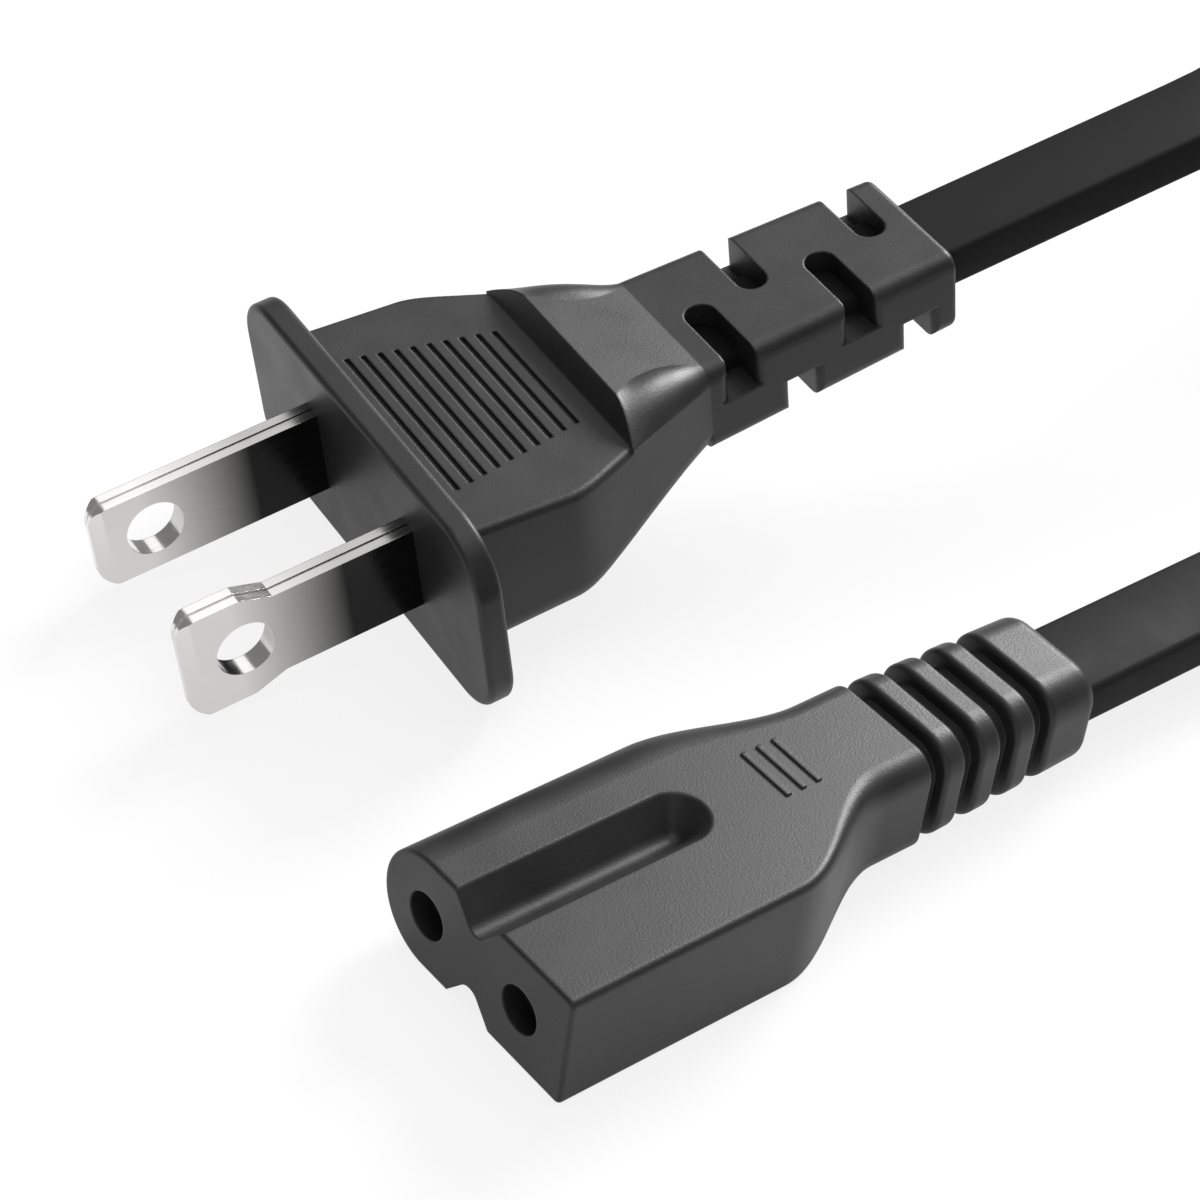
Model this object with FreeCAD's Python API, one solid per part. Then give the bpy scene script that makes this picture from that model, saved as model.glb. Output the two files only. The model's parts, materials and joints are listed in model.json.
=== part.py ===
"""Figure eight power connector on its flat two-core lead, with the two-blade wall plug at the far end.

Row frame, millimetres: the connector lies flat on z = 0 with its mouth facing -Y, the cord leaves
towards +Y, the two pins are side by side along X, and the origin is under the connector's middle.
"""
import FreeCAD, Part

import math
import os

V = FreeCAD.Vector

# Connector: mouth and body
PIN_SPACING = 8.6
PIN_HOLE_RADIUS = 1.55
BODY_HEIGHT = 8.0
FLAT_SIDE_FROM_PIN = 4.17
BODY_CORNER_RADIUS = 0.45
MOUTH_EDGE_RADIUS = 0.25
ROUND_END_FLAT = 0.06
STRAIGHT_LENGTH = 16.6
TAPER_LENGTH = 10.2
NECK_LENGTH = 3.4
NECK_HALF_WIDTH = 4.6
NECK_HEIGHT = 7.6
NECK_CORNER_RADIUS = 1.7
TAPER_STATIONS = 7

# Connector: waist grooves, and the three raised lines on top
WAIST_WIDTH = 4.2
WAIST_DEPTH = 1.95
WAIST_FLOOR_RADIUS = 0.9
WAIST_LIP_RADIUS = 0.5
WAIST_LIP_RISE = 0.03
WAIST_LENGTH = 16.2
LINE_COUNT = 3
LINE_LENGTH = 4.2
LINE_WIDTH = 0.36
LINE_HEIGHT = 0.12
LINE_PITCH = 1.17
LINE_FROM_MOUTH = 22.1

# Connector: ribbed strain relief
RIB_COUNT = 3
RIB_WIDTH = 1.7
RIB_GROOVE = 1.3
RIB_GROOVE_DEPTH = 0.95
RIB_EDGE_RADIUS = 0.35
COLLAR_LENGTH = 4.2
COLLAR_EDGE_RADIUS = 1.0
RELIEF_START_HALF_WIDTH = 4.7
RELIEF_END_HALF_WIDTH = 4.4
RELIEF_START_HALF_HEIGHT = 3.9
RELIEF_END_HALF_HEIGHT = 3.6
RELIEF_CORNER_RADIUS = 2.3

# Connector: contacts and their carrier
FRONT_WALL = 1.5
INSERT_LENGTH = 13.0
INSERT_WALL = 0.8
INSERT_WEB_HEIGHT = 2.4
SLEEVE_CLEARANCE = 0.05
SLEEVE_WALL = 0.25
SLEEVE_SETBACK = 0.8
SLEEVE_LENGTH = 10.0
SLEEVE_SLIT = 0.4
SLEEVE_SLIT_LENGTH = 8.0
CONTACT_NECK_LENGTH = 0.8
CRIMP_LENGTH = 4.5
CRIMP_WALL = 0.5
STRAND_RADIUS = 0.6
STRAND_PAST_CRIMP = 0.8
CORE_RADIUS = 0.95
CORE_SPACING = 2.5
CORE_RUN_IN = 2.2
JACKET_INSIDE_NECK = 1.5

# Cord: flat, two cores side by side
CORD_WIDTH = 6.4
CORD_THICKNESS = 3.1
CORD_CORNER_RADIUS = 1.0

# Plug: flange and body
FLANGE_WIDTH = 30.8
FLANGE_HEIGHT = 14.8
FLANGE_THICKNESS = 1.8
FLANGE_CORNER_RADIUS = 4.0
FLANGE_EDGE_RADIUS = 0.4
PLUG_BODY_HALF_WIDTH = 11.3
PLUG_BODY_HALF_HEIGHT = 5.2
PLUG_STRAIGHT_LENGTH = 6.8
PLUG_BEND_LENGTH = 2.6
PLUG_TAPER_END = 22.2
PLUG_TOP_EDGE_RADIUS = 0.5
PLUG_BOTTOM_EDGE_RADIUS = 1.9
PANEL_LENGTH = 12.7
PANEL_DROP = 1.5
STEP_HEIGHT = 1.9
STEP_LEAN = 1.1
STEP_INSET = 2.5
SHOULDER_INSET = 3.2
SHOULDER_CREASE_LENGTH = 3.6
SHOULDER_FLATNESS = 0.03
PLUG_STATIONS = 5

# Plug: grip grooves on the sloping panel
GRIP_COUNT = 10
GRIP_PITCH = 1.06
GRIP_WIDTH = 0.34
GRIP_DEPTH = 0.28
GRIP_FIRST_FROM_FLANGE = 1.5
GRIP_FIRST_LENGTH = 14.6
GRIP_LAST_LENGTH = 10.6

# Plug: slotted strain relief
PLUG_RELIEF_LENGTH = 19.4
PLUG_RELIEF_START_HALF_WIDTH = 5.8
PLUG_RELIEF_END_HALF_WIDTH = 5.3
PLUG_RELIEF_START_HALF_HEIGHT = 3.4
PLUG_RELIEF_END_HALF_HEIGHT = 3.1
PLUG_RELIEF_CORNER_RADIUS = 1.1
PLUG_RELIEF_EDGE_RADIUS = 0.5
SLOT_WIDTH = 2.2
SLOT_FIRST = 2.6
SLOT_HALF_PITCH = 4.6
SLOT_COUNT = 4
SLOT_PAST_MIDDLE = 0.45
SLOT_CORNER_RADIUS = 0.6
SLOT_RIDGE_HALF_HEIGHT = 0.35

# Plug: blades and their carrier
BLADE_SPACING = 12.7
BLADE_THICKNESS = 1.5
BLADE_WIDTH = 6.35
WIDE_BLADE_WIDTH = 7.94
BLADE_LENGTH = 16.0
BLADE_HOLE_RADIUS = 1.98
BLADE_HOLE_FROM_FACE = 11.9
BLADE_TIP_RADIUS = 1.3
BLADE_TIP_BEVEL = 0.5
BLADE_TIP_BEVEL_LENGTH = 0.9
SEAM_WIDTH = 0.16
SEAM_DEPTH = 0.12
FLARE_START = 9.6
FLARE_END = 11.8
BRIDGE_START = 0.6
BRIDGE_END = 7.0
BRIDGE_SIDE_WALL = 1.9
BRIDGE_TOP_WALL = 0.5
BLADE_TAIL_LENGTH = 1.4
BLADE_TAIL_WIDTH = 2.6
BLADE_CRIMP_LENGTH = 3.8
JACKET_BEFORE_RELIEF = 0.3

# Where the plug lies beside the connector
PLUG_X = -33.6
PLUG_Y = -6.1
PLUG_YAW = -7.5
PLUG_PITCH = 12.0

# Coil of the lead's spare length, with its tie
COIL_MID_RADIUS = 35.5
COIL_COLUMNS = 2
COIL_LAYERS = 4
COIL_TURN_GAP = 0.15
COIL_EDGE_RADIUS = 1.2
CONNECTOR_TAIL_ANGLE = 35.0
PLUG_TAIL_ANGLE = 22.0
TAIL_LENGTH = 20.0
TIE_ANGLE = 75.0
TIE_WIDTH = 5.0
TIE_THICKNESS = 0.6
TIE_SLACK = 0.2

# Cord routes: how far the connector's cord runs straight from the mouth, and each cord's last straight run
# into the coil's tail; the plug's cord runs straight until it is level with the coil's top layer
CONNECTOR_CORD_STRAIGHT = 71.35
CONNECTOR_LAST_RUN = 16.0
PLUG_LAST_RUN = 21.0

# Values that follow from the sizes above
CONNECTOR_NECK_END = STRAIGHT_LENGTH + TAPER_LENGTH + NECK_LENGTH
RELIEF_LENGTH = (RIB_COUNT + 1) * RIB_GROOVE + RIB_COUNT * RIB_WIDTH + COLLAR_LENGTH
CONNECTOR_LENGTH = CONNECTOR_NECK_END + RELIEF_LENGTH
MOUTH_Y = -CONNECTOR_LENGTH / 2
ROUND_SIDE_FROM_PIN = BODY_HEIGHT / 2
PIN_MID_X = (ROUND_SIDE_FROM_PIN - FLAT_SIDE_FROM_PIN) / 2
PIN_Z = BODY_HEIGHT / 2
RELIEF_Z = BODY_HEIGHT - NECK_HEIGHT / 2
SLEEVE_OUTER_RADIUS = PIN_HOLE_RADIUS - SLEEVE_CLEARANCE
SLEEVE_INNER_RADIUS = SLEEVE_OUTER_RADIUS - SLEEVE_WALL
INSERT_START = MOUTH_Y + FRONT_WALL
SLEEVE_START = INSERT_START + SLEEVE_SETBACK
CRIMP_START = SLEEVE_START + SLEEVE_LENGTH + CONTACT_NECK_LENGTH
CRIMP_RADIUS = STRAND_RADIUS + CRIMP_WALL
STRANDS_END = CRIMP_START + CRIMP_LENGTH + STRAND_PAST_CRIMP
CONNECTOR_JACKET_START = MOUTH_Y + CONNECTOR_NECK_END - JACKET_INSIDE_NECK
PLUG_RELIEF_END = PLUG_TAPER_END + PLUG_RELIEF_LENGTH
PLUG_JACKET_START = PLUG_TAPER_END - JACKET_BEFORE_RELIEF
PLUG_STRANDS_END = BRIDGE_END + BLADE_TAIL_LENGTH + BLADE_CRIMP_LENGTH + STRAND_PAST_CRIMP
STEP_Y = FLANGE_THICKNESS + PANEL_LENGTH
COIL_PITCH = CORD_THICKNESS + COIL_TURN_GAP
COIL_HEIGHT = COIL_LAYERS * (CORD_WIDTH + COIL_TURN_GAP)
COIL_HALF_BAND = COIL_COLUMNS * COIL_PITCH / 2
COIL_OUTER_RADIUS = COIL_MID_RADIUS + COIL_HALF_BAND
COIL_INNER_RADIUS = COIL_MID_RADIUS - COIL_HALF_BAND
COIL_OUTER_TURN_RADIUS = COIL_OUTER_RADIUS - COIL_PITCH / 2


# Shared shapes

def smooth_step(t):
    """Eases from 0 to 1 with level ends."""
    return t * t * (3 - 2 * t)


def closed_outline(arcs):
    """Closed wire from arcs, each given by three points, with a straight line from each to the next."""
    edges = []
    for index, points in enumerate(arcs):
        edges.append(Part.Arc(*points).toShape())
        following = arcs[(index + 1) % len(arcs)][0]
        edges.append(Part.LineSegment(points[2], following).toShape())
    return Part.Wire(edges)


def section(y, left, right, bottom, top, radii):
    """Closed rounded rectangle in the plane at y; radii go bottom left, bottom right, top right, top left."""
    bottom_left, bottom_right, top_right, top_left = radii
    corners = [
        (left + bottom_left, bottom + bottom_left, bottom_left, 180),
        (right - bottom_right, bottom + bottom_right, bottom_right, 270),
        (right - top_right, top - top_right, top_right, 0),
        (left + top_left, top - top_left, top_left, 90),
    ]
    arcs = []
    for x, z, radius, start in corners:
        points = []
        for step in (0, 45, 90):
            angle = math.radians(start + step)
            points.append(V(x + radius * math.cos(angle), y, z + radius * math.sin(angle)))
        arcs.append(points)
    return closed_outline(arcs)


def even_section(y, half_width, middle_z, half_height, radius, middle_x=0.0):
    """Rounded rectangle with four equal corners about its middle."""
    return section(y, middle_x - half_width, middle_x + half_width,
                   middle_z - half_height, middle_z + half_height, [radius] * 4)


def box(x0, x1, y0, y1, z0, z1):
    return Part.makeBox(x1 - x0, y1 - y0, z1 - z0, V(x0, y0, z0))


def rod(radius, y0, y1, x, z):
    """Round bar along Y."""
    return Part.makeCylinder(radius, y1 - y0, V(x, y0, z), V(0, 1, 0))


def joined(first, *others):
    """One solid from touching or overlapping solids."""
    return first.multiFuse(list(others)).removeSplitter()


def cut_by(solid, *tools):
    return solid.cut(Part.makeCompound(list(tools)))


def end_edges(solid, y):
    """Edges of a prism's end face at y."""
    return [edge for edge in solid.Edges
            if all(abs(vertex.Y - y) < 1e-6 for vertex in edge.Vertexes)]


def corner_arc(corner, before, after, radius):
    """Start, middle and end of the arc that rounds a corner between two headings."""
    half_turn = before.getAngle(after) / 2
    heading_in = V(before).normalize()
    heading_out = V(after).normalize()
    inward = (heading_out - heading_in).normalize()
    setback = radius * math.tan(half_turn)
    depth = radius / math.cos(half_turn) - radius
    return corner - heading_in * setback, corner + inward * depth, corner + heading_out * setback


def rounded_route(points, label):
    """Straight runs through the points, joined by tangent arcs as large as the runs allow."""
    edges = []
    radii = []
    start = points[0]
    for index in range(1, len(points) - 1):
        corner = points[index]
        before = corner - points[index - 1]
        after = points[index + 1] - corner
        shorter = min(before.Length, after.Length)
        radii.append(0.45 * shorter / math.tan(before.getAngle(after) / 2))
        arc_start, arc_middle, arc_end = corner_arc(corner, before, after, radii[-1])
        edges.append(Part.LineSegment(start, arc_start).toShape())
        edges.append(Part.Arc(arc_start, arc_middle, arc_end).toShape())
        start = arc_end
    edges.append(Part.LineSegment(start, points[-1]).toShape())
    print(label, "radii mm:", [round(radius, 1) for radius in radii])
    return Part.Wire(edges)


# Cord

def cord_section(middle, heading):
    """The flat cord's outline, lying with its width level, square to the heading."""
    wire = even_section(0, CORD_WIDTH / 2, 0, CORD_THICKNESS / 2, CORD_CORNER_RADIUS)
    level = V(heading.x, heading.y, 0)
    turn = FreeCAD.Rotation(V(0, 1, 0), level)
    tilt_axis = level.cross(V(0, 0, 1))
    tilt = FreeCAD.Rotation(tilt_axis, math.degrees(math.atan2(heading.z, level.Length)))
    wire.Placement = FreeCAD.Placement(middle, tilt * turn)
    return wire


def cord_tube(points, label):
    """Flat cord swept along a route, with its width kept level."""
    path = rounded_route(points, label)
    sweep = Part.BRepOffsetAPI.MakePipeShell(path)
    sweep.setFrenetMode(False)
    sweep.add(cord_section(points[0], points[1] - points[0]), False, False)
    sweep.build()
    sweep.makeSolid()
    tube = sweep.shape()
    area = Part.Face(cord_section(V(0, 0, 0), V(0, 1, 0))).Area
    print(label, "length mm:", round(path.Length, 1), "volume over section x length:",
          round(tube.Volume / (area * path.Length), 4))
    return tube


def layer_height(layer):
    return (layer + 0.5) * COIL_HEIGHT / COIL_LAYERS


def touch_angle(side):
    """Where round the coil the connector's cord (side 1) or the plug's cord (side -1) meets it."""
    return math.radians(-CONNECTOR_TAIL_ANGLE if side > 0 else 180 + PLUG_TAIL_ANGLE)


def tail_heading(side):
    """Heading of the cord into the turn that it touches."""
    angle = touch_angle(side)
    return V(-side * math.sin(angle), side * math.cos(angle), 0)


def touch_offset(side):
    """From the coil's middle to where the tail touches the outer turn."""
    angle = touch_angle(side)
    return V(COIL_OUTER_TURN_RADIUS * math.cos(angle), COIL_OUTER_TURN_RADIUS * math.sin(angle), 0)


def plug_route():
    """From inside the plug, straight to the level of the coil's top layer, then level to the tail's end."""
    start = plug_placement().multVec(V(0, PLUG_JACKET_START, 0))
    rise = layer_height(COIL_LAYERS - 1) - plug_placement().Base.z
    bend = plug_placement().multVec(V(0, rise / math.sin(math.radians(PLUG_PITCH)), 0))
    return [start, bend, bend + tail_heading(-1) * PLUG_LAST_RUN]


def coil_middle():
    """Middle of the coil, on the floor: it lies where the plug's cord reaches it."""
    middle = plug_route()[-1] + tail_heading(-1) * TAIL_LENGTH - touch_offset(-1)
    return V(middle.x, middle.y, 0)


def tail_end(side, layer):
    """Middle of the coil tail's free face."""
    level = V(0, 0, layer_height(layer))
    return coil_middle() + touch_offset(side) + level - tail_heading(side) * TAIL_LENGTH


def connector_cord_run():
    start = V(PIN_MID_X, CONNECTOR_JACKET_START, RELIEF_Z)
    straight_end = V(PIN_MID_X, MOUTH_Y + CONNECTOR_CORD_STRAIGHT, RELIEF_Z)
    end = tail_end(1, 0)
    last_bend = end - tail_heading(1) * CONNECTOR_LAST_RUN
    return cord_tube([start, straight_end, last_bend, end], "cord_connector_run")


def plug_cord_run():
    return cord_tube(plug_route(), "cord_plug_run")


def coil_tail(side, layer):
    """Short straight piece of cord, standing on edge, from the coil's outer turn."""
    heading = tail_heading(side)
    half_height = COIL_HEIGHT / COIL_LAYERS / 2
    wire = even_section(0, COIL_PITCH / 2, 0, half_height, CORD_CORNER_RADIUS)
    wire.Placement = FreeCAD.Placement(tail_end(side, layer), FreeCAD.Rotation(V(0, 1, 0), heading))
    return Part.Face(wire).extrude(heading * TAIL_LENGTH)


def coil():
    """Outer shape of the wound turns, with a tail from the bottom layer and one from the top layer."""
    wire = section(0, COIL_INNER_RADIUS, COIL_OUTER_RADIUS, 0, COIL_HEIGHT, [COIL_EDGE_RADIUS] * 4)
    ring = Part.Face(wire).revolve(V(0, 0, 0), V(0, 0, 1), 360)
    ring.translate(coil_middle())
    return joined(ring, coil_tail(1, 0), coil_tail(-1, COIL_LAYERS - 1))


def strap_section(grow):
    """Round the coil's band with a little slack, and as low as the floor when grown by its thickness."""
    reach = TIE_SLACK + grow
    return section(-TIE_WIDTH / 2, COIL_INNER_RADIUS - reach, COIL_OUTER_RADIUS + reach,
                   TIE_THICKNESS - grow, COIL_HEIGHT + reach, [COIL_EDGE_RADIUS + grow] * 4)


def tie():
    """Strap once round the coil's band, pressed into the turns below, so that it lies in the floor plane."""
    band = Part.Face(strap_section(TIE_THICKNESS)).cut(Part.Face(strap_section(0)))
    strap = band.extrude(V(0, TIE_WIDTH, 0))
    strap.rotate(V(0, 0, 0), V(0, 0, 1), TIE_ANGLE)
    strap.translate(coil_middle())
    return strap


# Connector

def connector_shell():
    """Overmould's outer form: straight body, S-curved taper and neck, before its grooves."""
    left = PIN_MID_X - PIN_SPACING / 2 - ROUND_SIDE_FROM_PIN
    right = PIN_MID_X + PIN_SPACING / 2 + FLAT_SIDE_FROM_PIN
    round_radius = (BODY_HEIGHT - ROUND_END_FLAT) / 2
    taper_start = MOUTH_Y + STRAIGHT_LENGTH
    neck_start = taper_start + TAPER_LENGTH
    wires = []
    for index in range(TAPER_STATIONS):
        t = index / (TAPER_STATIONS - 1)
        ease = smooth_step(t)
        wires.append(section(
            taper_start + t * TAPER_LENGTH,
            left + ease * (PIN_MID_X - NECK_HALF_WIDTH - left),
            right + ease * (PIN_MID_X + NECK_HALF_WIDTH - right),
            ease * (BODY_HEIGHT - NECK_HEIGHT),
            BODY_HEIGHT,
            [round_radius + ease * (NECK_CORNER_RADIUS - round_radius),
             BODY_CORNER_RADIUS + ease * (NECK_CORNER_RADIUS - BODY_CORNER_RADIUS),
             BODY_CORNER_RADIUS + ease * (NECK_CORNER_RADIUS - BODY_CORNER_RADIUS),
             round_radius + ease * (NECK_CORNER_RADIUS - round_radius)],
        ))
    mouth = section(MOUTH_Y, left, right, 0, BODY_HEIGHT,
                    [round_radius, BODY_CORNER_RADIUS, BODY_CORNER_RADIUS, round_radius])
    straight = Part.Face(mouth).extrude(V(0, STRAIGHT_LENGTH, 0))
    straight = straight.makeFillet(MOUTH_EDGE_RADIUS, end_edges(straight, MOUTH_Y))
    taper = Part.makeLoft(wires, True, False)
    neck = Part.Face(wires[-1]).extrude(V(0, MOUTH_Y + CONNECTOR_NECK_END - neck_start, 0))
    return joined(straight, taper, neck)


def waist_half_profile():
    """Half outline of the waist groove from its middle, with the face that it is cut into at z = 0.

    Its lip's round would end a little above that face, so it meets the face at a slight angle.
    """
    centre_z = WAIST_FLOOR_RADIUS - WAIST_DEPTH
    half = WAIST_WIDTH / 2
    reach = math.hypot(half, centre_z)
    lean = math.atan2(-centre_z, half)
    tangent = lean - math.acos(WAIST_FLOOR_RADIUS / reach)
    middle = (tangent - math.pi / 2) / 2
    floor = V(0, 0, -WAIST_DEPTH)
    touch = V(WAIST_FLOOR_RADIUS * math.cos(tangent), 0,
              centre_z + WAIST_FLOOR_RADIUS * math.sin(tangent))
    halfway = V(WAIST_FLOOR_RADIUS * math.cos(middle), 0,
                centre_z + WAIST_FLOOR_RADIUS * math.sin(middle))
    wall = V(half, 0, 0) - touch
    lip_corner = V(half, 0, 0) + wall * (WAIST_LIP_RISE / wall.z)
    lip_low, lip_middle, lip_high = corner_arc(lip_corner, wall, V(1, 0, 0), WAIST_LIP_RADIUS)
    above = V(lip_high.x, 0, 1)
    top = V(0, 0, 1)
    return Part.Face(Part.Wire([
        Part.Arc(floor, halfway, touch).toShape(),
        Part.LineSegment(touch, lip_low).toShape(),
        Part.Arc(lip_low, lip_middle, lip_high).toShape(),
        Part.LineSegment(lip_high, above).toShape(),
        Part.LineSegment(above, top).toShape(),
        Part.LineSegment(top, floor).toShape(),
    ]))


def waist_cutter():
    """Groove from the mouth to a round blind end, cut down from the top."""
    half = waist_half_profile()
    run = WAIST_LENGTH - WAIST_WIDTH / 2
    right = half.extrude(V(0, run + 1, 0))
    left = right.mirror(V(0, 0, 0), V(1, 0, 0))
    end = half.revolve(V(0, 0, 0), V(0, 0, 1), 360)
    end.translate(V(0, run + 1, 0))
    cutter = joined(right, left, end)
    cutter.translate(V(PIN_MID_X, MOUTH_Y - 1, BODY_HEIGHT))
    return cutter


def raised_lines():
    lines = []
    middle = MOUTH_Y + LINE_FROM_MOUTH
    for index in range(LINE_COUNT):
        y = middle + (index - (LINE_COUNT - 1) / 2) * LINE_PITCH
        lines.append(box(PIN_MID_X - LINE_LENGTH / 2, PIN_MID_X + LINE_LENGTH / 2,
                         y - LINE_WIDTH / 2, y + LINE_WIDTH / 2,
                         BODY_HEIGHT - LINE_HEIGHT, BODY_HEIGHT + LINE_HEIGHT))
    return lines


def relief_piece(start, length, inset, radius):
    """Tapered piece of the strain relief between two distances from the neck."""
    wires = []
    for distance in (start, start + length):
        t = distance / RELIEF_LENGTH
        half_width = RELIEF_START_HALF_WIDTH + t * (RELIEF_END_HALF_WIDTH - RELIEF_START_HALF_WIDTH)
        half_height = RELIEF_START_HALF_HEIGHT + t * (RELIEF_END_HALF_HEIGHT - RELIEF_START_HALF_HEIGHT)
        wires.append(even_section(MOUTH_Y + CONNECTOR_NECK_END + distance, half_width - inset, RELIEF_Z,
                                  half_height - inset, radius, PIN_MID_X))
    return Part.makeLoft(wires, True, True)


def connector_relief():
    """Core with three ribs and an end collar, each with eased edges."""
    pieces = [relief_piece(0, RELIEF_LENGTH - COLLAR_LENGTH / 2, RIB_GROOVE_DEPTH,
                           RELIEF_CORNER_RADIUS - RIB_GROOVE_DEPTH / 2)]
    neck_end = MOUTH_Y + CONNECTOR_NECK_END
    for index in range(RIB_COUNT):
        start = RIB_GROOVE + index * (RIB_GROOVE + RIB_WIDTH)
        rib = relief_piece(start, RIB_WIDTH, 0, RELIEF_CORNER_RADIUS)
        edges = end_edges(rib, neck_end + start) + end_edges(rib, neck_end + start + RIB_WIDTH)
        pieces.append(rib.makeFillet(RIB_EDGE_RADIUS, edges))
    start = RELIEF_LENGTH - COLLAR_LENGTH
    collar = relief_piece(start, COLLAR_LENGTH, 0, RELIEF_CORNER_RADIUS)
    collar = collar.makeFillet(RIB_EDGE_RADIUS, end_edges(collar, neck_end + start))
    pieces.append(collar.makeFillet(COLLAR_EDGE_RADIUS, end_edges(collar, neck_end + RELIEF_LENGTH)))
    return pieces


def pin_x(side):
    return PIN_MID_X + side * PIN_SPACING / 2


def connector_insert():
    """Figure-eight carrier behind the front wall, with a bore for each sleeve."""
    radius = PIN_HOLE_RADIUS + INSERT_WALL
    end = INSERT_START + INSERT_LENGTH
    lobes = [rod(radius, INSERT_START, end, pin_x(side), PIN_Z) for side in (-1, 1)]
    web = box(pin_x(-1), pin_x(1), INSERT_START, end,
              PIN_Z - INSERT_WEB_HEIGHT / 2, PIN_Z + INSERT_WEB_HEIGHT / 2)
    block = joined(web, *lobes)
    bores = [rod(PIN_HOLE_RADIUS, INSERT_START, end, pin_x(side), PIN_Z) for side in (-1, 1)]
    return cut_by(block, *bores)


def contact(side):
    """Rolled sleeve with a spring slit, a closed neck and a crimp barrel, one strip of metal."""
    x = pin_x(side)
    sleeve_end = SLEEVE_START + SLEEVE_LENGTH
    crimp_end = CRIMP_START + CRIMP_LENGTH
    sleeve = cut_by(
        rod(SLEEVE_OUTER_RADIUS, SLEEVE_START, sleeve_end, x, PIN_Z),
        rod(SLEEVE_INNER_RADIUS, SLEEVE_START, sleeve_end, x, PIN_Z),
        box(x - SLEEVE_SLIT / 2, x + SLEEVE_SLIT / 2, SLEEVE_START, SLEEVE_START + SLEEVE_SLIT_LENGTH,
            PIN_Z, PIN_Z + SLEEVE_OUTER_RADIUS),
    )
    neck = rod(SLEEVE_OUTER_RADIUS, sleeve_end, CRIMP_START, x, PIN_Z)
    barrel = rod(CRIMP_RADIUS, CRIMP_START, crimp_end, x, PIN_Z)
    return cut_by(joined(sleeve, neck, barrel), connector_strands(side))


def connector_strands(side):
    return rod(STRAND_RADIUS, CRIMP_START, STRANDS_END, pin_x(side), PIN_Z)


def core_leg(start, end, label):
    """Insulated core from a crimp to the cord's jacket, both ends along Y."""
    run_in = V(0, CORE_RUN_IN, 0)
    path = rounded_route([start, start + run_in, end - run_in, end], label)
    profile = Part.Wire(Part.makeCircle(CORE_RADIUS, start, V(0, 1, 0)))
    return path.makePipeShell([profile], True, False)


def connector_core(side, label):
    start = V(pin_x(side), STRANDS_END, PIN_Z)
    end = V(PIN_MID_X + side * CORE_SPACING / 2, CONNECTOR_JACKET_START, RELIEF_Z)
    return core_leg(start, end, label)


def connector_body(inner):
    """Overmould moulded round everything that it holds."""
    shell = joined(connector_shell(), *raised_lines(), *connector_relief())
    top_waist = waist_cutter()
    low_waist = top_waist.mirror(V(0, 0, PIN_Z), V(0, 0, 1))
    holes = [rod(PIN_HOLE_RADIUS, MOUTH_Y - 1, INSERT_START, pin_x(side), PIN_Z) for side in (-1, 1)]
    bores = [rod(PIN_HOLE_RADIUS, INSERT_START, INSERT_START + INSERT_LENGTH, pin_x(side), PIN_Z)
             for side in (-1, 1)]
    return cut_by(shell, top_waist, low_waist, *holes, *bores, *inner)


# Plug, in its own frame: the flange's front face at y = 0, blades towards -Y

def plug_placement():
    """Lies beside the connector on its flange's lower edge, nose a little down."""
    turn = FreeCAD.Rotation(V(0, 0, 1), PLUG_YAW) * FreeCAD.Rotation(V(1, 0, 0), PLUG_PITCH)
    lift = FLANGE_HEIGHT / 2 * math.cos(math.radians(PLUG_PITCH))
    return FreeCAD.Placement(V(PLUG_X, PLUG_Y, lift), turn)


def placed(shape):
    moved = shape.copy()
    moved.Placement = plug_placement().multiply(moved.Placement)
    return moved


def plug_half_width(y):
    """Plan outline: straight sides, a round bend, then a straight taper to the relief."""
    bend_start = FLANGE_THICKNESS + PLUG_STRAIGHT_LENGTH
    if y <= bend_start:
        return PLUG_BODY_HALF_WIDTH
    slope = ((PLUG_BODY_HALF_WIDTH - PLUG_RELIEF_START_HALF_WIDTH)
             / (PLUG_TAPER_END - bend_start - PLUG_BEND_LENGTH / 2))
    into = y - bend_start
    if into < PLUG_BEND_LENGTH:
        return PLUG_BODY_HALF_WIDTH - slope * into * into / (2 * PLUG_BEND_LENGTH)
    return PLUG_BODY_HALF_WIDTH - slope * (into - PLUG_BEND_LENGTH / 2)


def plug_bottom(y):
    """Underside: level under the straight sides, then up to the relief's underside."""
    bend_start = FLANGE_THICKNESS + PLUG_STRAIGHT_LENGTH
    t = min(max((y - bend_start) / (PLUG_TAPER_END - bend_start), 0), 1)
    return -PLUG_BODY_HALF_HEIGHT + smooth_step(t) * (PLUG_BODY_HALF_HEIGHT - PLUG_RELIEF_START_HALF_HEIGHT)


def panel_top(y):
    """Height of the sloping grip panel."""
    return PLUG_BODY_HALF_HEIGHT - PANEL_DROP * (y - FLANGE_THICKNESS) / PANEL_LENGTH


def front_section(y):
    half = plug_half_width(y)
    radii = [PLUG_BOTTOM_EDGE_RADIUS] * 2 + [PLUG_TOP_EDGE_RADIUS] * 2
    return section(y, -half, half, plug_bottom(y), panel_top(y), radii)


def stations(start, end, count):
    return [start + (end - start) * index / (count - 1) for index in range(count)]


def plug_front():
    """Straight and bent part of the body under the grip panel, as far as the step."""
    bend_start = FLANGE_THICKNESS + PLUG_STRAIGHT_LENGTH
    straight = Part.makeLoft([front_section(y) for y in (FLANGE_THICKNESS, bend_start)], True, True)
    bent = Part.makeLoft([front_section(y) for y in stations(bend_start, STEP_Y, PLUG_STATIONS)], True, False)
    return [straight, bent]


def shoulder_inset(share):
    """How far in from the side the top's edge lies: at the step, over the widest shoulder, at the relief."""
    return (STEP_INSET * (1 - share) * (1 - 2 * share) + SHOULDER_INSET * 4 * share * (1 - share)
            + PLUG_RELIEF_CORNER_RADIUS * share * (2 * share - 1))


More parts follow.
